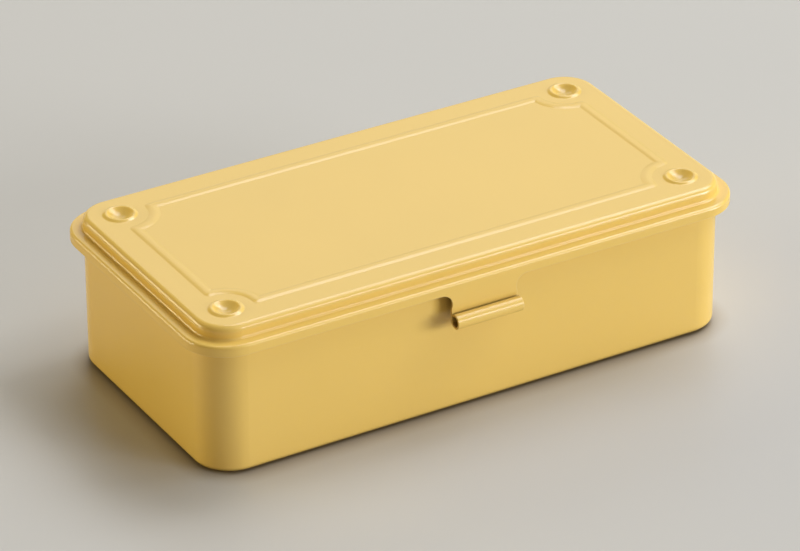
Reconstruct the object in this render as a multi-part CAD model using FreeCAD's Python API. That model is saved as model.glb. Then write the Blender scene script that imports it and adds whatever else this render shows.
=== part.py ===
import FreeCAD, Part
import math
import os

# A drawn-steel storage box: a deep tray with a rolled rim, and a hinged lid that caps the rim.
# Millimetres. X runs along the box, -Y is the front with the latch, Z is up, and the origin is the middle
# of the tray's underside. Every bend is given by its inside radius, as on a press tool.

V = FreeCAD.Vector
MIDDLE = V(0, 0, 0)
UP = V(0, 0, 1)

# Sheet
sheet = 0.7                     # tray and lid, paint included
overrun = 0.2                   # how far a cutter or a sunk root passes the face it meets

# Plan, measured over the lid's skirt
lid_length = 203.0
lid_width = 104.3
skirt_corner_radius = 15.5
skirt_overhang = 4.0            # skirt's outer face beyond the tray's wall
tray_corner_radius = 13.0
ledge_width = 4.4               # skirt's outer face beyond the raised top

# Heights
box_height = 54.0               # flat of the lid above the surface that the box stands on
step_height = 4.65              # flat of the lid above its ledge
skirt_height = 3.55             # ledge above the skirt's lower edge
base_step = 0.6                 # border of the tray's floor above the base that it stands on

# Step round the tray's base
base_border = 5.0               # flat width from the foot's bend to the step
base_step_slope = 30.0

# Bends of the two pressings
foot_bend = 1.3
top_edge_bend = 1.3
step_root_bend = 0.9
skirt_edge_bend = 0.3
rim_roll_turn = 290.0
rim_skirt_clearance = 0.5
rim_seat_clearance = 0.15       # rim's top below the underside of the ledge

# Stacking dimples in the lid's corners
dimple_inset = 11.9             # centre from the edges of the raised top
dimple_ring_height = 0.55
dimple_ring_slope = 30.0
dimple_root_bend = 0.8
dimple_crest_bend = 0.2
dimple_mouth_radius = 4.1
dimple_mouth_slope = 40.0

# Bead frame on the lid: it runs through the dimples' centre lines and steps round each dimple
bead_crown_radius = 5.4
bead_foot_radius = 2.0
bead_slope = 17.0               # steepest part of its sides
bead_foot_dip = 0.01            # how far the hollow foot passes under the panel's face, to cross it
bead_scallop_radius = 11.2

# Latch tongue, rolled outward at its end, with a round notch at each side of its neck
latch_width = 24.5
latch_drop = 9.4                # skirt's lower edge to the roll's axis
latch_roll_bend = 1.8
latch_roll_turn = 307.0
latch_notch_radius = 4.0
latch_flare = 0.3               # roll beyond the neck, at each side

# Hinges
hinge_spacing_share = 0.55      # of the lid's length
knuckle_turn = 300.0
knuckle_wall_clearance = 0.3    # lid's knuckle to the tray's wall
knuckle_end_clearance = 0.3
knuckle_rim_clearance = 0.3
lid_knuckle_length = 12.0
leaf_knuckle_length = 8.0
leaf_drop = 12.0                # hinge axis to the leaf's lower edge
leaf_corner_radius = 2.5
weld_dent_radius = 2.0
weld_dent_depth = 0.25
weld_dent_spacing = 15.0
weld_dent_drop = 7.0            # hinge axis to the welds
pin_clearance = 0.05
pin_overhang = 0.5              # pin past the leaf's knuckles, at each end
pin_chamfer = 0.3
stop_ear_width = 7.0
stop_ear_gap = 0.8              # ear to the end of the leaf's knuckle
stop_ear_corner_radius = 1.5
lid_stop_angle = 106.0          # opening at which the ears meet the tray's wall

# Plan sizes that follow
half_length = lid_length / 2
half_width = lid_width / 2
wall_face = half_width - skirt_overhang
top_radius = skirt_corner_radius - ledge_width

# Heights that follow
ledge_level = box_height - step_height
skirt_level = ledge_level - skirt_height
rim_roll_bend = (skirt_overhang - rim_skirt_clearance) / 2 - sheet
rim_roll_level = ledge_level - sheet - rim_seat_clearance - sheet - rim_roll_bend
rim_underside = rim_roll_level - rim_roll_bend - sheet

# Base sizes that follow: the step is two equal bends, and its sweep is their mean radius
step_slope = math.radians(base_step_slope)
base_step_sweep = base_step / 2 / (1 - math.cos(step_slope))
base_step_bend = base_step_sweep - sheet / 2
base_step_width = 2 * base_step_sweep * math.sin(step_slope)

# Hinge sizes that follow: both pieces roll to one bore, and the lid's knuckle lies flush with its skirt
hinge_x = hinge_spacing_share * lid_length / 2
leaf_sheet = sheet + knuckle_wall_clearance
knuckle_bore = (skirt_overhang - knuckle_wall_clearance) / 2 - sheet
hinge_y = half_width - sheet - knuckle_bore
hinge_z = rim_underside - knuckle_rim_clearance - knuckle_bore - leaf_sheet
leaf_half_length = lid_knuckle_length / 2 + knuckle_end_clearance + leaf_knuckle_length
leaf_window_level = hinge_z - knuckle_bore - sheet - knuckle_wall_clearance
stop_angle = math.radians(lid_stop_angle)
stop_reach = hinge_y - wall_face + (half_width - hinge_y) * math.cos(stop_angle)
stop_ear_drop = stop_reach / math.sin(stop_angle)

# Dimple sizes that follow
dimple_x = half_length - ledge_width - dimple_inset
dimple_y = half_width - ledge_width - dimple_inset
ring_slope = math.radians(dimple_ring_slope)
mouth_slope = math.radians(dimple_mouth_slope)
crest_radius = dimple_crest_bend + sheet
ring_slope_rise = dimple_ring_height - (dimple_root_bend + crest_radius) * (1 - math.cos(ring_slope))
dimple_foot_radius = (dimple_mouth_radius + crest_radius * (math.sin(mouth_slope) + math.sin(ring_slope))
                      + ring_slope_rise / math.tan(ring_slope) + dimple_root_bend * math.sin(ring_slope))

# Bead sizes that follow
bead_half_width = (bead_crown_radius + bead_foot_radius) * math.sin(math.radians(bead_slope))
bead_rise = (bead_crown_radius + bead_foot_radius) * (1 - math.cos(math.radians(bead_slope)))
bead_height = bead_rise - bead_foot_dip


def aim(angle):
    """Unit vector in the XZ plane at an angle, in degrees, from +X towards +Z."""
    return V(math.cos(math.radians(angle)), 0, math.sin(math.radians(angle)))


def spoke(angle, length):
    """Vector in plan at an angle, in degrees, from +X towards +Y."""
    return V(length * math.cos(math.radians(angle)), length * math.sin(math.radians(angle)), 0)


def line(start, end):
    return Part.LineSegment(start, end).toShape()


def join(pieces):
    return pieces[0].multiFuse(pieces[1:]).removeSplitter()


class Strip:
    """Section of a bent sheet in the XZ plane: one face is walked, the other lies to its left."""

    def __init__(self, x, z, heading, thickness=sheet):
        self.point = V(x, 0, z)
        self.heading = heading
        self.thickness = thickness
        self.walked = []
        self.other = []
        self.start_cap = self.cap()

    def cap(self):
        return line(self.point, self.point + aim(self.heading + 90) * self.thickness)

    def run(self, length):
        end = self.point + aim(self.heading) * length
        across = aim(self.heading + 90) * self.thickness
        self.walked.append(line(self.point, end))
        self.other.append(line(self.point + across, end + across))
        self.point = end
        return self

    def bend(self, turn, inside_radius):
        """Turns left for a positive angle, towards the sheet, and right for a negative one."""
        side = math.copysign(90, turn)
        walked_radius = inside_radius + self.thickness if turn > 0 else inside_radius
        other_radius = walked_radius - math.copysign(self.thickness, turn)
        centre = self.point + aim(self.heading + side) * walked_radius
        rays = [aim(self.heading - side + turn * share) for share in (0, 0.5, 1)]
        for edges, radius in ((self.walked, walked_radius), (self.other, other_radius)):
            edges.append(Part.Arc(*[centre + ray * radius for ray in rays]).toShape())
        self.point = centre + rays[-1] * walked_radius
        self.heading += turn
        return self

    def face(self):
        return Part.Face(Part.Wire(self.walked + [self.cap()] + self.other[::-1] + [self.start_cap]))


def box_sides(inset):
    """The four sides between the corner centres, which lie at an inset from the skirt, anticlockwise."""
    x = half_length - inset
    y = half_width - inset
    corners = [V(x, -y, 0), V(x, y, 0), V(-x, y, 0), V(-x, -y, 0)]
    return list(enumerate(zip(corners, corners[1:] + corners[:1])))


def round_the_box(section, sides):
    """Carries a section, drawn outward from a corner centre, along the sides and round the corners."""
    pieces = []
    for quarter, (corner, next_corner) in sides:
        side = section.rotated(MIDDLE, UP, 90 * quarter).translated(corner)
        pieces.append(side.extrude(next_corner - corner))
        pieces.append(side.translated(next_corner - corner).revolve(next_corner, UP, 90))
    return pieces


def rounded_plate(radius, level, sides):
    """Flat sheet that reaches a radius beyond the four corner centres."""
    edges = []
    for quarter, (corner, next_corner) in sides:
        edges.append(line(corner + spoke(90 * quarter, radius), next_corner + spoke(90 * quarter, radius)))
        round_points = [next_corner + spoke(90 * (quarter + share), radius) for share in (0, 0.5, 1)]
        edges.append(Part.Arc(*round_points).toShape())
    return Part.Face(Part.Wire(edges)).extrude(UP * sheet).translated(UP * level)


def hanging_plate(x, bottom, top, thickness, width, corner_radius):
    """Upright plate with its inner face at x, centred on Y = 0, with its two lower corners rounded."""
    side = width / 2
    flat = side - corner_radius
    shoulder = bottom + corner_radius
    slant = corner_radius * math.sqrt(0.5)
    half_edges = []
    for hand in (-1, 1):
        upright_end = V(x, hand * side, shoulder)
        round_end = V(x, hand * flat, bottom)
        round_middle = V(x, hand * (flat + slant), shoulder - slant)
        half_edges.append([line(V(x, hand * side, top), upright_end),
                           Part.Arc(upright_end, round_middle, round_end).toShape()])
    foot = line(V(x, -flat, bottom), V(x, flat, bottom))
    head = line(V(x, side, top), V(x, -side, top))
    outline = Part.Wire(half_edges[0] + [foot] + half_edges[1][::-1] + [head])
    return Part.Face(outline).extrude(V(thickness, 0, 0))


def across(section, length):
    """Section widened to a length along Y, centred."""
    return section.translated(V(0, -length / 2, 0)).extrude(V(0, length, 0))


def at_front(shape):
    return shape.rotated(MIDDLE, UP, -90)


def at_back(shape, x):
    return shape.rotated(MIDDLE, UP, 90).translated(V(x, 0, 0))


def make_tray():
    """Deep-drawn tray: floor with a sunk base, rounded foot, upright wall and a rim rolled outward."""
    sides = box_sides(skirt_overhang + tray_corner_radius)
    base_radius = tray_corner_radius - sheet - foot_bend - base_border - base_step_width
    section = Strip(base_radius, 0, 0)
    section.bend(base_step_slope, base_step_bend).bend(-base_step_slope, base_step_bend).run(base_border)
    section.bend(90, foot_bend).run(rim_roll_level - base_step - foot_bend - sheet)
    section.bend(-rim_roll_turn, rim_roll_bend)
    return join([rounded_plate(base_radius, 0, sides)] + round_the_box(section.face(), sides))


def lid_shell():
    """Flat top, step, ledge and skirt."""
    sides = box_sides(skirt_corner_radius)
    flat_radius = top_radius - top_edge_bend - sheet
    section = Strip(flat_radius, box_height - sheet, 0)
    section.bend(-90, top_edge_bend).run(step_height - top_edge_bend - step_root_bend - sheet)
    section.bend(90, step_root_bend).run(ledge_width - step_root_bend - skirt_edge_bend - sheet)
    section.bend(-90, skirt_edge_bend).run(skirt_height - skirt_edge_bend - sheet)
    flat = rounded_plate(flat_radius, box_height - sheet, sides)
    return join([flat] + round_the_box(section.face(), sides))


def dimple():
    """Sheet revolved into a low ring round a dished hollow."""
    section = Strip(dimple_foot_radius, box_height, 180)
    section.bend(-dimple_ring_slope, dimple_root_bend).run(ring_slope_rise / math.sin(ring_slope))
    section.bend(dimple_ring_slope + dimple_mouth_slope, dimple_crest_bend)
    section.bend(-dimple_mouth_slope, dimple_mouth_radius / math.sin(mouth_slope))
    return section.face().revolve(MIDDLE, UP, 360)


def bead_arc(centre, radius, start, end):
    """Arc in the XZ plane between two angles, in degrees, from +X towards +Z."""
    return Part.Arc(*[centre + aim(angle) * radius for angle in (start, (start + end) / 2, end)]).toShape()


def bead_section(crown_start):
    """Bead's section from an angle on its crown to its right foot, with a root sunk in the panel."""
    crown_centre = V(0, 0, bead_height - bead_crown_radius)
    crown = bead_arc(crown_centre, bead_crown_radius, crown_start, 90 - bead_slope)
    foot_centre = V(bead_half_width, 0, bead_foot_radius - bead_foot_dip)
    top = [crown, bead_arc(foot_centre, bead_foot_radius, 270 - bead_slope, 270)]
    if crown_start > 90:
        left_centre = V(-bead_half_width, 0, foot_centre.z)
        top.insert(0, bead_arc(left_centre, bead_foot_radius, 270, 270 + bead_slope))
    start = top[0].firstVertex().Point
    end = top[-1].lastVertex().Point
    sunk_start = V(start.x, 0, -overrun)
    sunk_end = V(end.x, 0, -overrun)
    root = [line(end, sunk_end), line(sunk_end, sunk_start), line(sunk_start, start)]
    return Part.Face(Part.Wire(top + root))


def bead_frame():
    """Bead on level zero: four straight runs, a scallop about each dimple, and round corners between."""
    whole = bead_section(90 + bead_slope)
    half = bead_section(90)
    pieces = []
    for quarter, (centre, next_centre) in box_sides(ledge_width + dimple_inset):
        inward = 90 * (quarter + 1)
        scallop = whole.translated(V(bead_scallop_radius, 0, 0)).rotated(MIDDLE, UP, inward)
        pieces.append(scallop.revolve(MIDDLE, UP, 90).translated(centre))
        run_start = centre + spoke(inward, bead_scallop_radius)
        run_end = next_centre + spoke(inward + 180, bead_scallop_radius)
        straight = whole.rotated(MIDDLE, UP, 90 * quarter).translated(run_start)
        pieces.append(straight.extrude(run_end - run_start))
        corner_end = half.rotated(MIDDLE, UP, inward + 180).revolve(MIDDLE, UP, 90)
        for angle in (inward, inward + 90):
            pieces.append(corner_end.translated(centre + spoke(angle, bead_scallop_radius)))
    return join(pieces)


def latch_tongue():
    """Tongue that hangs from the front skirt: root, notched neck, and a roll for the finger."""
    inner_face = half_width - sheet
    section = Strip(inner_face, skirt_level, 270).run(latch_drop).bend(latch_roll_turn, latch_roll_bend)
    notch_y = latch_width / 2 - latch_flare + latch_notch_radius
    notch_z = skirt_level - latch_notch_radius
    root = Part.makeBox(sheet, 2 * notch_y, latch_notch_radius, V(inner_face, -notch_y, notch_z))
    tongue = across(section.face(), latch_width).fuse(root)
    for y in (-notch_y, notch_y):
        notch_start = V(inner_face - overrun, y, notch_z)
        notch_length = sheet + 2 * overrun
        tongue = tongue.cut(Part.makeCylinder(latch_notch_radius, notch_length, notch_start, V(1, 0, 0)))
    return at_front(tongue)


def lid_hinge(x):
    """Knuckle tab of the back skirt, between two ears that stop the open lid against the tray."""
    inner_face = half_width - sheet
    section = Strip(inner_face, skirt_level, 270).run(skirt_level - hinge_z)
    section.bend(-knuckle_turn, knuckle_bore)
    ear_bottom = hinge_z - stop_ear_drop
    ear = hanging_plate(inner_face, ear_bottom, skirt_level, sheet, stop_ear_width, stop_ear_corner_radius)
    ear_middle = leaf_half_length + stop_ear_gap + stop_ear_width / 2
    ears = [ear.translated(V(0, side * ear_middle, 0)) for side in (-1, 1)]
    pieces = [across(section.face(), lid_knuckle_length)] + ears
    return [at_back(piece, x) for piece in pieces]


def make_lid():
    """Lid pressing with its bead frame, dimples, latch tongue and hinge knuckles."""
    bead = bead_frame()
    lid = lid_shell().fuse(bead.translated(UP * box_height))
    lid = lid.cut(bead.translated(UP * (box_height - sheet)))
    hole_start = V(0, 0, box_height - sheet - overrun)
    hole = Part.makeCylinder(dimple_foot_radius, sheet + 2 * overrun, hole_start)
    for x in (-dimple_x, dimple_x):
        for y in (-dimple_y, dimple_y):
            lid = lid.cut(hole.translated(V(x, y, 0))).fuse(dimple().translated(V(x, y, 0)))
    return join([lid, latch_tongue()] + lid_hinge(-hinge_x) + lid_hinge(hinge_x))


def make_leaf(x):
    """Hinge leaf: a plate welded to the tray's back wall, with a knuckle at each end."""
    outer_face = wall_face + leaf_sheet
    leaf_length = 2 * leaf_half_length
    leaf_bottom = hinge_z - leaf_drop
    plate_edges = (leaf_bottom, leaf_window_level)
    plate = hanging_plate(wall_face, *plate_edges, leaf_sheet, leaf_length, leaf_corner_radius)
    section = Strip(outer_face, leaf_window_level, 90, leaf_sheet).run(hinge_z - leaf_window_level)
    knuckle = across(section.bend(-knuckle_turn, knuckle_bore).face(), leaf_knuckle_length)
    knuckle_middle = leaf_half_length - leaf_knuckle_length / 2
    leaf = join([plate] + [knuckle.translated(V(0, side * knuckle_middle, 0)) for side in (-1, 1)])
    dent_ball_radius = (weld_dent_radius ** 2 + weld_dent_depth ** 2) / (2 * weld_dent_depth)
    dent_x = outer_face - weld_dent_depth + dent_ball_radius
    for side in (-1, 1):
        dent_centre = V(dent_x, side * weld_dent_spacing / 2, hinge_z - weld_dent_drop)
        leaf = leaf.cut(Part.makeSphere(dent_ball_radius, dent_centre))
    return at_back(leaf, x)


def make_pin(x):
    """Plain wire pin with chamfered ends."""
    length = 2 * (leaf_half_length + pin_overhang)
    pin_end = V(hinge_y, -length / 2, hinge_z)
    pin = Part.makeCylinder(knuckle_bore - pin_clearance, length, pin_end, V(0, 1, 0))
    rims = [edge for edge in pin.Edges if isinstance(edge.Curve, Part.Circle)]
    return at_back(pin.makeChamfer(pin_chamfer, rims), x)


parts = {
    "tray": make_tray(),
    "lid": make_lid(),
    "hinge_leaf_left": make_leaf(-hinge_x),
    "hinge_leaf_right": make_leaf(hinge_x),
    "hinge_pin_left": make_pin(-hinge_x),
    "hinge_pin_right": make_pin(hinge_x),
}

os.makedirs("parts", exist_ok=True)
for name, shape in parts.items():
    shape.exportStep(f"parts/{name}.step")
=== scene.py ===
import math

import bpy
from mathutils import Euler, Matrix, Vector

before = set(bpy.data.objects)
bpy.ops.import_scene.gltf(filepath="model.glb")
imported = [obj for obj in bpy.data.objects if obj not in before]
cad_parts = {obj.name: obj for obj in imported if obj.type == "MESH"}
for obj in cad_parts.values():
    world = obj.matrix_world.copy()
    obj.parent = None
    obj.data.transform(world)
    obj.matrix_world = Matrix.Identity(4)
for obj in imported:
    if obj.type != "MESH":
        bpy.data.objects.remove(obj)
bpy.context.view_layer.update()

# Lengths are in metres and colours are linear.

# Which pieces are painted and which are plated
PAINTED_NODES = ("tray", "lid", "hinge_leaf_left", "hinge_leaf_right")
PLATED_NODES = ("hinge_pin_left", "hinge_pin_right")

# Camera, found by fitting the box's edges to the photograph
VIEW_AZIMUTH = math.radians(-30.336)     # from the front, towards the left end
VIEW_ELEVATION = math.radians(29.447)
VIEW_ROLL = math.radians(-0.241)
VIEW_TARGET = Vector((-0.0009, 0, 0.0241))
VIEW_DISTANCE = 1.580
VIEW_LENS = 215.4                        # millimetres, like the sensor's width
VIEW_SENSOR = 36

# Light
WORLD_COLOUR = (0.80, 0.80, 0.82, 1)
WORLD_STRENGTH = 0.03
LAMP_TARGET = Vector((0, 0, 0.03))
LAMP_DISTANCE = 3.5
PLAIN_LIGHT = (1, 1, 1)
KEY_LIGHT = (1, 1.03, 1.15)
FRONT_LIGHT = (1, 1.04, 1.2)
FILL_LIGHT = (1, 0.48, 0.08)             # warms the shade at the corner nearest the camera
LEFT_LIGHT = (1, 0.89, 0.57)

# Softboxes: name, azimuth from the right-hand end towards the back and elevation, both in degrees, width,
# height, power in watts, colour
SOFTBOXES = (
    ("key_right", -7, 49, 2.0, 1.7, 50.5, KEY_LIGHT),
    ("key_back", 34, 57, 2.2, 1.7, 53, KEY_LIGHT),
    ("back_right", 58, 29, 2.5, 1.4, 14, PLAIN_LIGHT),
    ("backdrop", 62, 4, 5.6, 1.1, 15.7, PLAIN_LIGHT),
    ("front_top", 292, 55, 3.1, 2.3, 16, PLAIN_LIGHT),
    ("front_low", 314, 7.5, 1.5, 0.93, 64, FRONT_LIGHT),
    ("front_strip", 300, 19, 1.3, 0.6, 25, FRONT_LIGHT),
    ("front_fill", 226, 12, 1.55, 1.1, 5.6, FILL_LIGHT),
    ("back_left", 122, 16, 0.93, 0.47, 3.5, PLAIN_LIGHT),
    ("left", 146, 10, 2.3, 0.85, 67, LEFT_LIGHT),
)

# Painted pressings
ENAMEL_COLOUR = (0.80, 0.535, 0.118, 1)
ENAMEL_ROUGHNESS = 0.205
ENAMEL_SHINE = 0.5                       # specular level
CLOUD_SIZE = 0.05
COLOUR_SPREAD = 0.012
ROUGHNESS_SPREAD = 0.02
PEEL_SIZE = 0.0012                       # from one orange-peel crest to the next
PEEL_DEPTH = 0.000004
CREVICE_SIZE = 0.009                     # how far apart two faces can be and still shade each other
CREVICE_OPENNESS = (0, 0.58)             # openness in the deepest crevice, and above which no painted shade is added
CREVICE_SHADE = 0.15                     # share of colour and shine left by the painted shade in the deepest crevice
EDGE_WEAR_AND_HIGHLIGHT_COLOUR = (0.90, 0.68, 0.28, 1)      # thin paint over a sheet's edge, paler also as a painted highlight along it
EDGE_ROUNDING = 0.0003                   # where the paint runs over a sheet's edge
EDGE_COSINES = (0.88, 0.985)             # between rounded and own normal, on an edge and away from it
EDGE_SAMPLES = 6

# Plated hinge pins
STEEL_COLOUR = (0.55, 0.54, 0.51, 1)
STEEL_SPREAD = 0.08
STEEL_ROUGHNESS = 0.35
STEEL_ROUGHNESS_SPREAD = 0.07
STEEL_GRAIN_SIZE = 0.0006
STEEL_GRAIN_DETAIL = 4

# Floor
FLOOR_SIZE = 8
FLOOR_COLOUR = (0.552, 0.530, 0.460, 1)
FLOOR_SPREAD = 0.01
FLOOR_CLOUD_SIZE = 0.3
FLOOR_ROUGHNESS = 0.33
FLOOR_SHINE = 0.12                       # specular level
CONTACT_SHADOW_COLOUR = (0.28, 0.18, 0.05, 1)   # painted contact shadow under and beside the box, warm like light off its paint
CONTACT_SHADOW_SIZE = 0.007

# Nodes in general
NOISE_DETAIL = 2
NOISE_RANGE = (0.3, 0.7)                 # where a noise mostly keeps
OPENNESS_SAMPLES = 8
BLEND_FIRST, BLEND_SECOND, BLEND_RESULT = 6, 7, 2    # colour sockets of the Mix node


def node_material(name):
    """New material, its node tree and its Principled shader."""
    material = bpy.data.materials.new(name)
    material.use_nodes = True
    tree = material.node_tree
    return material, tree, tree.nodes["Principled BSDF"]


def noise(tree, wavelength, detail=NOISE_DETAIL):
    """Noise in the piece's own coordinates, with bumps about a wavelength apart."""
    place = tree.nodes.new("ShaderNodeTexCoord")
    texture = tree.nodes.new("ShaderNodeTexNoise")
    texture.inputs["Scale"].default_value = 1 / wavelength
    texture.inputs["Detail"].default_value = detail
    tree.links.new(place.outputs["Object"], texture.inputs["Vector"])
    return texture.outputs["Fac"]


def remap(tree, source, old_range, new_range):
    """Value carried from one range to another, and kept inside it."""
    span = tree.nodes.new("ShaderNodeMapRange")
    span.inputs["From Min"].default_value = old_range[0]
    span.inputs["From Max"].default_value = old_range[1]
    span.inputs["To Min"].default_value = new_range[0]
    span.inputs["To Max"].default_value = new_range[1]
    tree.links.new(source, span.inputs["Value"])
    return span.outputs["Result"]


def vary(tree, source, middle, spread):
    """Noise carried to a range round a middle value."""
    return remap(tree, source, NOISE_RANGE, (middle - spread, middle + spread))


def tint(tree, colour, value):
    """Colour with its brightness multiplied by a value."""
    shade = tree.nodes.new("ShaderNodeHueSaturation")
    shade.inputs["Color"].default_value = colour
    tree.links.new(value, shade.inputs["Value"])
    return shade.outputs["Color"]


def blend(tree, factor, first_colour, second):
    """A fixed colour where the factor is 0, turning into a second, linked one where it is 1."""
    mix = tree.nodes.new("ShaderNodeMix")
    mix.data_type = "RGBA"
    tree.links.new(factor, mix.inputs["Factor"])
    mix.inputs[BLEND_FIRST].default_value = first_colour
    tree.links.new(second, mix.inputs[BLEND_SECOND])
    return mix.outputs[BLEND_RESULT]


def openness(tree, distance):
    """1 in the open, less where other faces are within a distance."""
    sight = tree.nodes.new("ShaderNodeAmbientOcclusion")
    sight.samples = OPENNESS_SAMPLES
    sight.inputs["Distance"].default_value = distance
    return sight.outputs["AO"]


def off_edge(tree, rounded_normal):
    """0 on a sheet's edge, where the rounded normal leaves the surface's own, and 1 away from it."""
    surface = tree.nodes.new("ShaderNodeNewGeometry")
    match = tree.nodes.new("ShaderNodeVectorMath")
    match.operation = "DOT_PRODUCT"
    tree.links.new(rounded_normal, match.inputs[0])
    tree.links.new(surface.outputs["Normal"], match.inputs[1])
    return remap(tree, match.outputs["Value"], EDGE_COSINES, (0, 1))


def enamel():
    """Semi-gloss baked enamel: faint orange peel and clouds, paler sheet edges that are partly thin paint
    and partly a painted highlight, and painted shade in crevices on both colour and shine.
    """
    material, tree, shader = node_material("yellow_enamel_paint")
    clouds = noise(tree, CLOUD_SIZE)
    sight = openness(tree, CREVICE_SIZE)
    brightness = tree.nodes.new("ShaderNodeMath")
    brightness.operation = "MULTIPLY"
    tree.links.new(vary(tree, clouds, 1, COLOUR_SPREAD), brightness.inputs[0])
    # painted shade: the paint's colour darkened where other faces are near, in crevices, rolls and gaps
    tree.links.new(remap(tree, sight, CREVICE_OPENNESS, (CREVICE_SHADE, 1)), brightness.inputs[1])
    coat_with_painted_shade = tint(tree, ENAMEL_COLOUR, brightness.outputs["Value"])
    edge = tree.nodes.new("ShaderNodeBevel")
    edge.samples = EDGE_SAMPLES
    edge.inputs["Radius"].default_value = EDGE_ROUNDING
    rounded_normal = edge.outputs["Normal"]
    # paler sheet edges: partly thin paint, partly a painted highlight
    coat_with_worn_and_highlit_edges = blend(tree, off_edge(tree, rounded_normal), EDGE_WEAR_AND_HIGHLIGHT_COLOUR, coat_with_painted_shade)
    tree.links.new(coat_with_worn_and_highlit_edges, shader.inputs["Base Color"])
    tree.links.new(vary(tree, clouds, ENAMEL_ROUGHNESS, ROUGHNESS_SPREAD), shader.inputs["Roughness"])
    # painted shade on the reflections too: less shine in crevices
    shine = remap(tree, sight, CREVICE_OPENNESS, (CREVICE_SHADE * ENAMEL_SHINE, ENAMEL_SHINE))
    tree.links.new(shine, shader.inputs["Specular IOR Level"])
    peel = tree.nodes.new("ShaderNodeBump")
    peel.inputs["Distance"].default_value = PEEL_DEPTH
    tree.links.new(noise(tree, PEEL_SIZE), peel.inputs["Height"])
    tree.links.new(rounded_normal, peel.inputs["Normal"])
    tree.links.new(peel.outputs["Normal"], shader.inputs["Normal"])
    return material


def plated_steel():
    """Zinc-plated wire with a fine grain."""
    material, tree, shader = node_material("plated_steel_wire")
    shader.inputs["Metallic"].default_value = 1
    grain = noise(tree, STEEL_GRAIN_SIZE, STEEL_GRAIN_DETAIL)
    plating = tint(tree, STEEL_COLOUR, vary(tree, grain, 1, STEEL_SPREAD))
    tree.links.new(plating, shader.inputs["Base Color"])
    tree.links.new(vary(tree, grain, STEEL_ROUGHNESS, STEEL_ROUGHNESS_SPREAD), shader.inputs["Roughness"])
    return material


def cover(node_names, material):
    for name in node_names:
        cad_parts[name].material_slots[0].material = material


def floor():
    bpy.ops.mesh.primitive_plane_add(size=FLOOR_SIZE)
    plane = bpy.context.object
    plane.name = "floor"
    material, tree, shader = node_material("pale_floor")
    clouds = noise(tree, FLOOR_CLOUD_SIZE)
    open_colour = tint(tree, FLOOR_COLOUR, vary(tree, clouds, 1, FLOOR_SPREAD))
    # painted contact shadow: the floor turns dark brown where the box stands near
    colour = blend(tree, openness(tree, CONTACT_SHADOW_SIZE), CONTACT_SHADOW_COLOUR, open_colour)
    tree.links.new(colour, shader.inputs["Base Color"])
    shader.inputs["Roughness"].default_value = FLOOR_ROUGHNESS
    shader.inputs["Specular IOR Level"].default_value = FLOOR_SHINE
    plane.data.materials.append(material)


def softbox(name, azimuth, elevation, width, height, power, colour):
    """Area lamp on a dome round the box, aimed at it."""
    lamp = bpy.data.lights.new(name, "AREA")
    lamp.shape = "RECTANGLE"
    lamp.size = width
    lamp.size_y = height
    lamp.energy = power
    lamp.color = colour
    around = math.radians(azimuth)
    above = math.radians(elevation)
    reach = math.cos(above)
    outward = Vector((math.cos(around) * reach, math.sin(around) * reach, math.sin(above)))
    holder = bpy.data.objects.new(name, lamp)
    holder.location = LAMP_TARGET + outward * LAMP_DISTANCE
    holder.rotation_euler = outward.to_track_quat("Z", "Y").to_euler()
    bpy.context.scene.collection.objects.link(holder)


def lights():
    world = bpy.data.worlds.new("studio")
    world.use_nodes = True
    background = world.node_tree.nodes["Background"]
    background.inputs["Color"].default_value = WORLD_COLOUR
    background.inputs["Strength"].default_value = WORLD_STRENGTH
    bpy.context.scene.world = world
    for lamp in SOFTBOXES:
        softbox(*lamp)


def camera():
    data = bpy.data.cameras.new("photo_camera")
    data.sensor_width = VIEW_SENSOR
    data.lens = VIEW_LENS
    around = Euler((0, 0, VIEW_AZIMUTH)).to_matrix()
    down = Euler((math.pi / 2 - VIEW_ELEVATION, 0, 0)).to_matrix()
    roll = Euler((0, 0, VIEW_ROLL)).to_matrix()
    turn = around @ down @ roll
    holder = bpy.data.objects.new("photo_camera", data)
    holder.rotation_euler = turn.to_euler()
    holder.location = VIEW_TARGET + turn @ Vector((0, 0, VIEW_DISTANCE))
    bpy.context.scene.collection.objects.link(holder)
    bpy.context.scene.camera = holder


cover(PAINTED_NODES, enamel())
cover(PLATED_NODES, plated_steel())
floor()
lights()
camera()
bpy.context.scene.view_settings.view_transform = "Standard"
